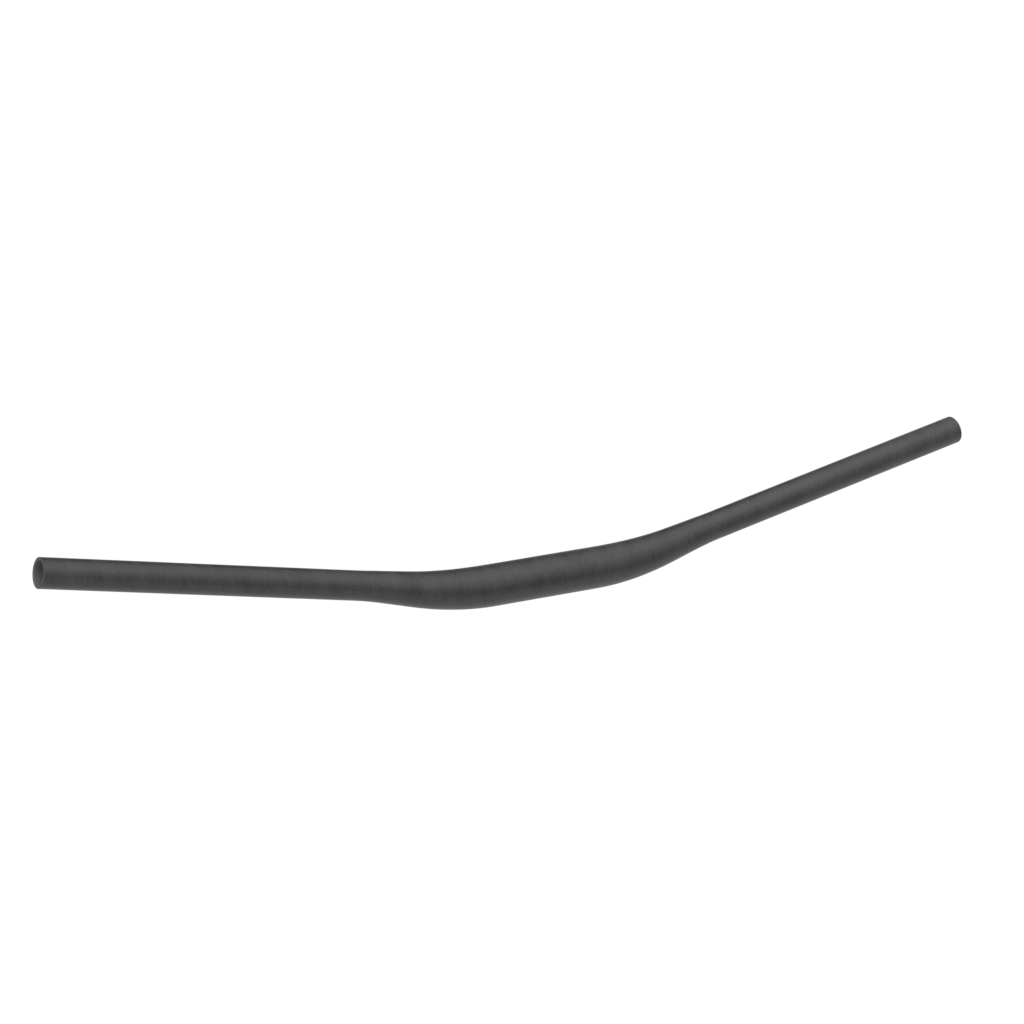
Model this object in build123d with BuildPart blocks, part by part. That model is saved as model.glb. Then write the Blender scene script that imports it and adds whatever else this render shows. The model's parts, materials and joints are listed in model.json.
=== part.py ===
"""Riser handlebar for a mountain bike: one moulded carbon-fibre tube, fat at the stem and slim at the grips.

The tube is straight where the stem clamps it. On each side it then bends back and up while it tapers, eases
off a little where the taper runs out, and goes on straight to an open end. Each half lies in one plane
through the clamp axis.

Frame: origin at the middle of the clamp, +X along the clamp axis, +Y back towards the rider, +Z up.
Millimetres and degrees.
"""

import os
from math import atan, cos, degrees, hypot, radians, tan

from build123d import *

# Driving dimensions
bar_width = 800.0       # between the middles of the open ends, along X
clamp_diameter = 31.8   # outside, at the stem
clamp_length = 90.0     # straight run of full diameter, centred on the stem
grip_diameter = 22.2    # outside, for grips and levers
backsweep = 9.0         # lean of the grips towards the rider, seen from above
upsweep = 5.5           # lean of the grips upwards, seen from the front
bend_radius = 325.0     # centreline radius of the main bend, which starts at the clamp's end
bend_ease = 1.8         # degrees that the main bend turns too far and the easing bend takes back
ease_radius = 600.0     # centreline radius of the easing bend, which ends where the grip starts
middle_run = 21.5       # straight run between the two bends
run_out_angle = 1.7     # slope of the tapered surface where it meets the grip
clamp_wall = 2.6        # tube wall at the stem, where more plies are laid
grip_wall = 2.2         # tube wall along the grips
end_chamfer = 0.2       # broken edges of the sawn ends, outside and inside
taper_stations = 13     # cross-sections that the taper is drawn through

# Derived dimensions
clamp_radius = clamp_diameter / 2
grip_radius = grip_diameter / 2
back_slope = tan(radians(backsweep))
up_slope = tan(radians(upsweep))
grip_angle = degrees(atan(hypot(back_slope, up_slope)))
main_bend = grip_angle + bend_ease
taper_start = clamp_length / 2
taper_length = radians(main_bend) * bend_radius + middle_run + radians(bend_ease) * ease_radius

# Each half bends in the plane that holds the clamp axis and the grip's direction
bend_plane = Plane(origin=(0, 0, 0), x_dir=(1, 0, 0), z_dir=(0, -up_slope, back_slope))


def tapered_radius(share, clamp_end, grip_end):
    """Radius at a share of the taper: level with the clamp at its start, at the run-out angle at its end."""
    drop = (grip_end - clamp_end) * (3 * share**2 - 2 * share**3)
    run_out = tan(radians(run_out_angle)) * taper_length * (share**2 - share**3)
    return clamp_end + drop + run_out


# Centreline of one half, from the middle of the clamp to the open end
with BuildLine(bend_plane) as centreline:
    clamp_run = Line((0, 0), (taper_start, 0))
    main_arc = JernArc(clamp_run @ 1, clamp_run % 1, bend_radius, main_bend)
    middle = Line(main_arc @ 1, main_arc @ 1 + (main_arc % 1) * middle_run)
    ease_arc = JernArc(middle @ 1, middle % 1, ease_radius, -bend_ease)
    grip_length = (bar_width / 2 - (ease_arc @ 1).X) / cos(radians(grip_angle))
    Line(ease_arc @ 1, ease_arc @ 1 + (ease_arc % 1) * grip_length)
bar_axis = centreline.wire()


def square_to_bar(distance):
    """Plane across the tube at a distance along its centreline from the middle of the clamp."""
    here = bar_axis.position_at(distance, PositionMode.LENGTH)
    along = bar_axis.tangent_at(distance, PositionMode.LENGTH)
    return Plane(origin=here, x_dir=bend_plane.z_dir, z_dir=along)


with BuildPart() as handlebar:
    # Straight clamp
    with BuildSketch(square_to_bar(0)):
        Circle(clamp_radius)
        Circle(clamp_radius - clamp_wall, mode=Mode.SUBTRACT)
    extrude(amount=taper_start, both=True)

    # Taper, through rings set square to the bent centreline
    for station in range(taper_stations):
        share = station / (taper_stations - 1)
        with BuildSketch(square_to_bar(taper_start + share * taper_length)):
            Circle(tapered_radius(share, clamp_radius, grip_radius))
            Circle(
                tapered_radius(share, clamp_radius - clamp_wall, grip_radius - grip_wall),
                mode=Mode.SUBTRACT,
            )
    loft()

    # Straight grip, with its open end deburred
    with BuildSketch(square_to_bar(taper_start + taper_length)):
        Circle(grip_radius)
        Circle(grip_radius - grip_wall, mode=Mode.SUBTRACT)
    extrude(amount=grip_length)
    open_end = handlebar.faces().filter_by(GeomType.PLANE).sort_by(Axis.X)[-1]
    chamfer(open_end.edges(), length=end_chamfer)

    # The other half is its mirror image
    mirror(about=Plane.YZ)

handlebar.part.label = "handlebar"

os.makedirs("parts", exist_ok=True)
export_step(handlebar.part, "parts/handlebar.step")
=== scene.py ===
"""Studio scene of a mountain-bike riser handlebar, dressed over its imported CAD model. Metres, radians."""

import json
from math import asin, atan2, cos, pi, radians, sin

import bpy
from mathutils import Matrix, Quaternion, Vector


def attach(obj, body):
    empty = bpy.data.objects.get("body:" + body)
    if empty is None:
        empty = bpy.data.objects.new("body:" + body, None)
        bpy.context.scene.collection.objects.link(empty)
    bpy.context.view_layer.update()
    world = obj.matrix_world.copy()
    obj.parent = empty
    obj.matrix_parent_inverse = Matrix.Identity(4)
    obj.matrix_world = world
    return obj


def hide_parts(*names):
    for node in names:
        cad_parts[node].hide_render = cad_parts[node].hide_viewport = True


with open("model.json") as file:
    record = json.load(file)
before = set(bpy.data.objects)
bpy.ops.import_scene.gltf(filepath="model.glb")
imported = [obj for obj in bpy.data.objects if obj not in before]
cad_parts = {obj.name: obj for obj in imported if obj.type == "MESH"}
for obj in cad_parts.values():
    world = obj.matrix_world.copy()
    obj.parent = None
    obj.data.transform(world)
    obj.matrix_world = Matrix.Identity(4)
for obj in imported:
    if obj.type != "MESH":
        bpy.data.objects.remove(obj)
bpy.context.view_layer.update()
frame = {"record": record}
scene = bpy.context.scene
scene.view_settings.view_transform = "Standard"


# Handlebar: one hollow tube of carbon fibre and epoxy, laid up in helical plies and moulded in one piece.
# It is fat where the stem clamps it and slim at the grips, bends back and up on each side, and has a matte
# lacquer through which the plies show faintly. Both ends are sawn off square and left open.
mounts = {mount["name"]: mount for mount in frame["record"]["mounts"]}


def mount_size(mount_name, size_name):
    """One size of a mount, in metres. The part's record has it in millimetres."""
    return mounts[mount_name]["dims"][size_name] / 1000


clamp_radius = mount_size("stem_clamp", "r_mm")
clamp_length = mount_size("stem_clamp", "length_mm")
grip_radius = mount_size("left_grip", "r_mm")
bore_radius = mount_size("left_end_bore", "r_mm")
grip_direction = Vector(mounts["left_grip"]["axis"])

tube_sizes = {
    "Clamp Radius": clamp_radius,
    "Clamp Half Length": clamp_length / 2,
    "Clamp Wall": 0.0026,
    "Grip Radius": grip_radius,
    "Grip Wall": grip_radius - bore_radius,
    "Half Width": 0.4,
    "Grip Angle": asin(grip_direction.yz.length),
    "Bend Lean": atan2(grip_direction.z, grip_direction.y),
    "Bend Radius": 0.325,
    "Bend Ease": radians(1.8),
    "Ease Radius": 0.6,
    "Middle Run": 0.0215,
    "Run Out Slope": radians(1.7),
    "End Chamfer": 0.0002,
}
tube_counts = {
    "Stations": 145,
    "Sides": 96,
    "Flat Strips": 10,
}

tube_tree = bpy.data.node_groups.new("bent_tapered_tube", "GeometryNodeTree")
tube_tree.interface.new_socket("Geometry", in_out="OUTPUT", socket_type="NodeSocketGeometry")
tube_sockets = {}
for socket_type, tube_values in (("NodeSocketFloat", tube_sizes), ("NodeSocketInt", tube_counts)):
    for name in tube_values:
        tube_sockets[name] = tube_tree.interface.new_socket(name, in_out="INPUT", socket_type=socket_type)
tube_inlet = tube_tree.nodes.new("NodeGroupInput")


class Amount:
    """A number that nodes work out at each point, so that sums can be written as plain arithmetic."""

    def __init__(self, socket):
        self.socket = socket

    def __add__(self, other):
        return sum_node(self, "ADD", other)

    __radd__ = __add__

    def __sub__(self, other):
        return sum_node(self, "SUBTRACT", other)

    def __rsub__(self, other):
        return sum_node(self * -1, "ADD", other)

    def __mul__(self, other):
        return sum_node(self, "MULTIPLY", other)

    __rmul__ = __mul__

    def __truediv__(self, other):
        return sum_node(self, "DIVIDE", other)


def feed(inlet, value):
    """Give one input of a node an amount, another node's output or a plain value."""
    if isinstance(value, Amount):
        value = value.socket
    if isinstance(value, bpy.types.NodeSocket):
        inlet.id_data.links.new(value, inlet)
    else:
        inlet.default_value = value


def add_node(tree, kind, inputs=None, **settings):
    """One node in a tree, with its settings, and with what goes into its inputs by their names."""
    node = tree.nodes.new(kind)
    for setting, value in settings.items():
        setattr(node, setting, value)
    for inlet_name, value in (inputs or {}).items():
        feed(node.inputs[inlet_name], value)
    return node


def sum_node(first, operation, second=None):
    """One Math node in the tree that the first amount belongs to."""
    node = add_node(first.socket.id_data, "ShaderNodeMath", operation=operation)
    feed(node.inputs[0], first)
    if second is not None:
        feed(node.inputs[1], second)
    return Amount(node.outputs[0])


def kept_between(amount, low, high):
    return sum_node(sum_node(amount, "MAXIMUM", low), "MINIMUM", high)


def sine(angle):
    return sum_node(angle, "SINE")


def cosine(angle):
    return sum_node(angle, "COSINE")


def point(tree, x, y, z=0):
    """The place with three given coordinates."""
    return add_node(tree, "ShaderNodeCombineXYZ", {"X": x, "Y": y, "Z": z}).outputs[0]


def tube_size(size_name):
    return Amount(tube_inlet.outputs[size_name])


clamp_half = tube_size("Clamp Half Length")
end_chamfer = tube_size("End Chamfer")
grip_angle = tube_size("Grip Angle")
bend_ease = tube_size("Bend Ease")
bend_radius = tube_size("Bend Radius")
ease_radius = tube_size("Ease Radius")
middle_run = tube_size("Middle Run")
main_bend = grip_angle + bend_ease

# Lengths along the centreline, from the middle of the clamp to the ends of the bends and of the tube
main_end = clamp_half + bend_radius * main_bend
ease_start = main_end + middle_run
taper_end = ease_start + ease_radius * bend_ease
taper_length = taper_end - clamp_half
taper_reach = (
    clamp_half
    + bend_radius * sine(main_bend)
    + middle_run * cosine(main_bend)
    + ease_radius * (sine(main_bend) - sine(grip_angle))
)
tube_end = taper_end + (tube_size("Half Width") - taper_reach) / cosine(grip_angle)

# A square grid is rolled into the tube. Its rows follow the skin from one end to the other and come back
# through the bore, and the last row closes on the first.
grid_half = 0.5
halfway = 0.5
stations = tube_size("Stations")
rows = stations * 2
grid = add_node(
    tube_tree,
    "GeometryNodeMeshGrid",
    {
        "Size X": 2 * grid_half,
        "Size Y": 2 * grid_half,
        "Vertices X": rows + 1,
        "Vertices Y": tube_size("Sides") + 1,
    },
)
grid_point = add_node(tube_tree, "GeometryNodeInputPosition")
grid_place = add_node(tube_tree, "ShaderNodeSeparateXYZ", {"Vector": grid_point.outputs[0]})
grid_row = sum_node((Amount(grid_place.outputs["X"]) + grid_half) * rows, "ROUND")
turn_share = Amount(grid_place.outputs["Y"]) + grid_half
around = turn_share * (2 * pi)
row = sum_node(grid_row, "FLOORED_MODULO", rows)
in_bore = sum_node(row, "GREATER_THAN", stations - halfway)
station = row + in_bore * (rows - 1 - row - row)

# Stations are counted out from the middle of the bar. The last step to each end is its broken edge, and the
# steps before that share out the rest of the tube evenly.
half_steps = (stations - 1) / 2
step = station - half_steps
side = sum_node(step, "SIGN")
steps_out = sum_node(step, "ABSOLUTE")
at_end = sum_node(steps_out, "GREATER_THAN", half_steps - halfway)
even_share = kept_between(steps_out / (half_steps - 1), 0, 1)
along = even_share * (tube_end - end_chamfer) + at_end * end_chamfer

# Centreline of one half in its own plane: out along the clamp axis, and how far it has risen from it
main_turn = kept_between((along - clamp_half) / bend_radius, 0, main_bend)
middle_part = kept_between(along - main_end, 0, middle_run)
ease_turn = kept_between((along - ease_start) / ease_radius, 0, bend_ease)
grip_part = sum_node(along - taper_end, "MAXIMUM", 0)
reach = (
    sum_node(along, "MINIMUM", clamp_half)
    + bend_radius * sine(main_turn)
    + middle_part * cosine(main_bend)
    + ease_radius * (sine(main_bend) - sine(main_bend - ease_turn))
    + grip_part * cosine(grip_angle)
)
rise = (
    bend_radius * (1 - cosine(main_turn))
    + middle_part * sine(main_bend)
    + ease_radius * (cosine(main_bend - ease_turn) - cosine(main_bend))
    + grip_part * sine(grip_angle)
)
turned = main_turn - ease_turn

# Radius of the skin and of the bore: a smooth taper that runs out at a slight slope
clamp_skin = tube_size("Clamp Radius")
grip_skin = tube_size("Grip Radius")
clamp_bore = clamp_skin - tube_size("Clamp Wall")
grip_bore = grip_skin - tube_size("Grip Wall")
share = kept_between((along - clamp_half) / taper_length, 0, 1)
eased_share = share * share * (3 - 2 * share)
run_out = sum_node(tube_size("Run Out Slope"), "TANGENT") * taper_length * share * share * (1 - share)
skin_radius = clamp_skin + (grip_skin - clamp_skin) * eased_share
hollow_radius = clamp_bore + (grip_bore - clamp_bore) * eased_share
broken_edge = at_end * end_chamfer
radius = run_out + skin_radius - broken_edge + in_bore * (hollow_radius - skin_radius + 2 * broken_edge)

# Each point stands off the centreline, square to it
in_plane = radius * cosine(around)
off_plane = radius * sine(around)
lift = rise + in_plane * cosine(turned)
lean = tube_size("Bend Lean")
tube_place = point(
    tube_tree,
    side * (reach - in_plane * sine(turned)),
    lift * cosine(lean) - off_plane * sine(lean),
    lift * sine(lean) + off_plane * cosine(lean),
)


def kept_on_mesh(attribute_name, data_type, domain, value):
    """The node that stores a value on the mesh under a name."""
    return add_node(
        tube_tree,
        "GeometryNodeStoreNamedAttribute",
        {"Name": attribute_name, "Value": value},
        data_type=data_type,
        domain=domain,
    )


# The finish follows the surface by metres along the bar and radians around it, and by the depth in the
# wall: 0 on the skin, 1 in the bore, and in between on the sawn ends
ply_map = kept_on_mesh("ply_map", "FLOAT2", "CORNER", point(tube_tree, side * along, around))
wall_depth = kept_on_mesh("wall_depth", "FLOAT", "POINT", in_bore)

# A second map lays the tube out flat, for pictures of the finish that go with the mesh. The grid is cut
# into strips of as many rows each, one above the other: tall ones for the skin, then low ones for the bore.
skin_share = 0.85
strip_margin = 0.01


def inset(amount):
    return amount * (1 - 2 * strip_margin) + strip_margin


strips = tube_size("Flat Strips")
skin_strips = strips / 2
strip_rows = rows / strips
face_row = add_node(tube_tree, "GeometryNodeFieldOnDomain", {"Value": grid_row}, domain="FACE")
strip = sum_node(Amount(face_row.outputs["Value"]) / strip_rows, "FLOOR")
along_strip = inset(grid_row / strip_rows - strip)
across_strips = (strip + inset(turn_share)) / skin_strips
across_skin = kept_between(across_strips, 0, 1)
across_bore = across_strips - across_skin
flat_place = point(tube_tree, along_strip, across_skin * skin_share + across_bore * (1 - skin_share))
flat_map = kept_on_mesh("OFBake", "FLOAT2", "CORNER", flat_place)

# The rolled grid is welded along its seams and shaded smooth, but for the rims of the sawn ends
seam_gap = 0.00002
rim_angle = radians(25)
roll_up = add_node(tube_tree, "GeometryNodeSetPosition", {"Position": tube_place})
close_seams = add_node(tube_tree, "GeometryNodeMergeByDistance", {"Distance": seam_gap})
smooth_skin = add_node(tube_tree, "GeometryNodeSetShadeSmooth")
edge_angle = Amount(add_node(tube_tree, "GeometryNodeInputMeshEdgeAngle").outputs["Unsigned Angle"])
sharp_rims = add_node(
    tube_tree,
    "GeometryNodeSetShadeSmooth",
    {"Selection": sum_node(edge_angle, "GREATER_THAN", rim_angle), "Shade Smooth": False},
    domain="EDGE",
)
realize = add_node(tube_tree, "GeometryNodeRealizeInstances")
give_finish = add_node(tube_tree, "GeometryNodeSetMaterial")
outlet = add_node(tube_tree, "NodeGroupOutput")
tube_steps = (
    grid,
    ply_map,
    flat_map,
    wall_depth,
    roll_up,
    close_seams,
    smooth_skin,
    sharp_rims,
    realize,
    give_finish,
    outlet,
)
for earlier, later in zip(tube_steps, tube_steps[1:]):
    feed(later.inputs[0], earlier.outputs[0])

# Matte carbon: dark fibres under a rough clear lacquer. The outer ply is wound steeply round the bar, away
# from the clamp on each side, so a fibre's shade is looked up by the helix that it lies on.
fibre_advance_per_radian = 0.004
noise_middle = 0.5
carbon = bpy.data.materials.new("matte_carbon")
carbon.use_nodes = True
carbon_tree = carbon.node_tree
carbon_shader = carbon_tree.nodes["Principled BSDF"]
ply_point = add_node(carbon_tree, "ShaderNodeUVMap", uv_map="ply_map")
ply_axes = add_node(carbon_tree, "ShaderNodeSeparateXYZ", {"Vector": ply_point.outputs[0]})
ply_along = Amount(ply_axes.outputs["X"])
ply_around = Amount(ply_axes.outputs["Y"])
depth = Amount(add_node(carbon_tree, "ShaderNodeAttribute", attribute_name="wall_depth").outputs["Fac"])
bar_place = add_node(carbon_tree, "ShaderNodeTexCoord").outputs["Object"]


def grey(level):
    return (level, level, level, 1)


def carbon_noise(place, scale, detail=0):
    """Random amount about 0, in patches of one unit over the scale."""
    noise = add_node(carbon_tree, "ShaderNodeTexNoise", {"Vector": place, "Scale": scale, "Detail": detail})
    return Amount(noise.outputs["Fac"]) - noise_middle


def fibres(bundles, run):
    """Streaks along the outer ply: how many there are in one turn, and the length of bar each covers."""
    helix = ply_around + sum_node(ply_along, "ABSOLUTE") / fibre_advance_per_radian
    ring_radius = bundles / (2 * pi)
    spot = point(carbon_tree, cosine(helix) * ring_radius, sine(helix) * ring_radius, ply_along / run)
    return carbon_noise(spot, scale=1)


def colour_mix(amount, low, high):
    """Colour between two others, each a constant or a node's output. Sockets of one name go by number."""
    mix = add_node(carbon_tree, "ShaderNodeMix", {"Factor": amount}, data_type="RGBA")
    for colour_inlet, colour in zip(mix.inputs[6:8], (low, high)):
        feed(colour_inlet, colour)
    return mix.outputs[2]


# The skin's shade comes from broad bands and fine filaments along the ply, soft patches and a fine grain
dark_fibre = grey(0.005)
light_fibre = grey(0.042)
band_weight = 0.4
patch_weight = 0.45
grain_weight = 1.2
middle_shade = 0.5
bands = fibres(bundles=3, run=0.012)
filaments = fibres(bundles=72, run=0.0025)
streaks = bands * band_weight + filaments
patches = carbon_noise(bar_place, scale=55)
grain = carbon_noise(bar_place, scale=1500)
fibre_shade = streaks + patches * patch_weight + grain * grain_weight + middle_shade
skin_colour = colour_mix(kept_between(fibre_shade, 0, 1), dark_fibre, light_fibre)

# The saw leaves the plies as rings on the cut ends. The bore's light grey is painted light in the tube's
# shade
dark_saw_cut = grey(0.008)
light_saw_cut = grey(0.036)
bore_painted_light = grey(0.14)
rings_in_wall = 6
ring_weight = 0.45
depth_slack = 0.001
rings = sine(depth * (2 * pi * rings_in_wall))
mottle = carbon_noise(bar_place, scale=260, detail=3)
cut_shade = rings * ring_weight + mottle + middle_shade
cut_colour = colour_mix(kept_between(cut_shade, 0, 1), dark_saw_cut, light_saw_cut)
under_skin = sum_node(depth, "GREATER_THAN", depth_slack)
on_bore_wall = sum_node(depth, "GREATER_THAN", 1 - depth_slack)
shell_colour = colour_mix(under_skin, skin_colour, cut_colour)
feed(carbon_shader.inputs["Base Color"], colour_mix(on_bore_wall, shell_colour, bore_painted_light))

# The lacquer's gloss varies along the fibres, and the bare wall at the cut ends and in the bore is rougher
lacquer_roughness = 0.45
streak_roughness = 0.15
bare_roughness = 0.12
roughness = lacquer_roughness + streaks * streak_roughness + under_skin * bare_roughness
feed(carbon_shader.inputs["Roughness"], roughness)

# The lacquer has a fine grain and lies a little unevenly over the plies
wave_height = 0.00003
grain_height = 0.000008
waves = carbon_noise(bar_place, scale=250, detail=2)
fine_grain = carbon_noise(bar_place, scale=4000, detail=1)
lacquer_height = waves * wave_height + fine_grain * grain_height
lacquer = add_node(carbon_tree, "ShaderNodeBump", {"Height": lacquer_height, "Distance": 1})
feed(carbon_shader.inputs["Normal"], lacquer.outputs[0])
feed(give_finish.inputs["Material"], carbon)

bar = bpy.data.objects.new("bar_tube", bpy.data.meshes.new("bar_tube"))
scene.collection.objects.link(bar)
tube_modifier = bar.modifiers.new("tube", "NODES")
tube_modifier.node_group = tube_tree
for name, value in (tube_sizes | tube_counts).items():
    tube_modifier[tube_sockets[name].identifier] = value
evaluated_bar = bar.evaluated_get(bpy.context.evaluated_depsgraph_get())
bar_mesh = bpy.data.meshes.new_from_object(evaluated_bar)
bar.modifiers.remove(tube_modifier)
bar.data = bar_mesh
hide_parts("handlebar")
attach(bar, "root")


# Floor: a plain pale sheet with a matt face, far enough below the bar for the bar's soft shadow to fade
# away, and for a camera to look up at the bar from underneath.
floor_drop = 3.0
floor_half = 60.0
floor_colour = grey(0.91)


def matt_paint(paint_name, colour):
    """Paint with no gloss at all."""
    paint = bpy.data.materials.new(paint_name)
    paint.use_nodes = True
    paint.node_tree.nodes.clear()
    diffuse = add_node(paint.node_tree, "ShaderNodeBsdfDiffuse", {"Color": colour})
    add_node(paint.node_tree, "ShaderNodeOutputMaterial", {"Surface": diffuse.outputs[0]})
    return paint


def flat_sheet(sheet_name, corners, paint):
    """Painted sheet of one flat face between its corners."""
    mesh = bpy.data.meshes.new(sheet_name)
    mesh.from_pydata(corners, [], [range(len(corners))])
    mesh.materials.append(paint)
    sheet = bpy.data.objects.new(sheet_name, mesh)
    scene.collection.objects.link(sheet)
    return sheet


floor_corners = [
    (-floor_half, -floor_half, -floor_drop),
    (floor_half, -floor_half, -floor_drop),
    (floor_half, floor_half, -floor_drop),
    (-floor_half, floor_half, -floor_drop),
]
floor = flat_sheet("floor", floor_corners, matt_paint("pale_floor", floor_colour))


# Light: a white room that lights the bar evenly, a wide soft light overhead, and two black cards that only
# reflections see, which give the bar its thin dark upper edge and the dark band below its highlight.
def towards(azimuth, elevation):
    """Unit vector at degrees round from +X towards +Y, and up from the horizon."""
    turn = radians(azimuth)
    tilt = radians(elevation)
    return Vector((cos(tilt) * cos(turn), cos(tilt) * sin(turn), sin(tilt)))


room_level = 0.4
room = bpy.data.worlds.new("white_room")
room.use_nodes = True
room_tree = room.node_tree
room_shader = room_tree.nodes["Background"]
room_ray = add_node(room_tree, "ShaderNodeLightPath")
room_seen = (
    Amount(room_ray.outputs["Is Camera Ray"])
    + Amount(room_ray.outputs["Is Glossy Ray"])
    + Amount(room_ray.outputs["Is Transmission Ray"])
)
room_strength = room_level + kept_between(room_seen, 0, 1) * (1 - room_level)
feed(room_shader.inputs["Color"], grey(1))
feed(room_shader.inputs["Strength"], room_strength)
scene.world = room

softbox_direction = towards(119, 71)
softbox_spread = radians(42.7)
softbox_level = 1.64
softbox = bpy.data.lights.new("overhead_softbox", "SUN")
softbox.angle = 2 * softbox_spread
softbox.energy = softbox_level * pi * sin(softbox_spread) ** 2
softbox_stand = bpy.data.objects.new("overhead_softbox", softbox)
softbox_stand.rotation_mode = "QUATERNION"
softbox_stand.rotation_quaternion = softbox_direction.to_track_quat("Z", "Y")
scene.collection.objects.link(softbox_stand)

card_black = matt_paint("card_black", grey(0))
card_radius = 0.6
card_corners = 64
for card_name, card_direction, card_distance in (
    ("back_card", towards(69.7, -6.2), 1.56),
    ("front_card", towards(302.9, 27), 2.0),
):
    turn_card = card_direction.to_track_quat("Z", "Y")
    card_rim = []
    for corner in range(card_corners):
        corner_turn = 2 * pi * corner / card_corners
        outwards = turn_card @ Vector((cos(corner_turn), sin(corner_turn), 0))
        card_rim.append(card_direction * card_distance + outwards * card_radius)
    card = flat_sheet(card_name, card_rim, card_black)
    card.visible_camera = False
    card.visible_diffuse = False
    card.visible_shadow = False
    card.visible_transmission = False


# Camera: a long lens high in front of the bar, towards the rider's right, at the photograph's angle. It is
# rolled, and aimed a little behind the clamp, so that the bar lies in the frame as in the photograph.
view_point = Vector((-0.013297, 0.049095, 0.017163))
view_back = towards(218.9065, 50.0490)
view_distance = 2.46382
view_roll = radians(34.48)
film_width_mm = 36
lens_length_mm = 115.2255
camera_data = bpy.data.cameras.new("camera")
camera_data.sensor_width = film_width_mm
camera_data.lens = lens_length_mm
camera = bpy.data.objects.new("camera", camera_data)
camera.location = view_point + view_back * view_distance
camera.rotation_mode = "QUATERNION"
camera.rotation_quaternion = (-view_back).to_track_quat("-Z", "Y") @ Quaternion((0, 0, 1), view_roll)
scene.collection.objects.link(camera)
scene.camera = camera
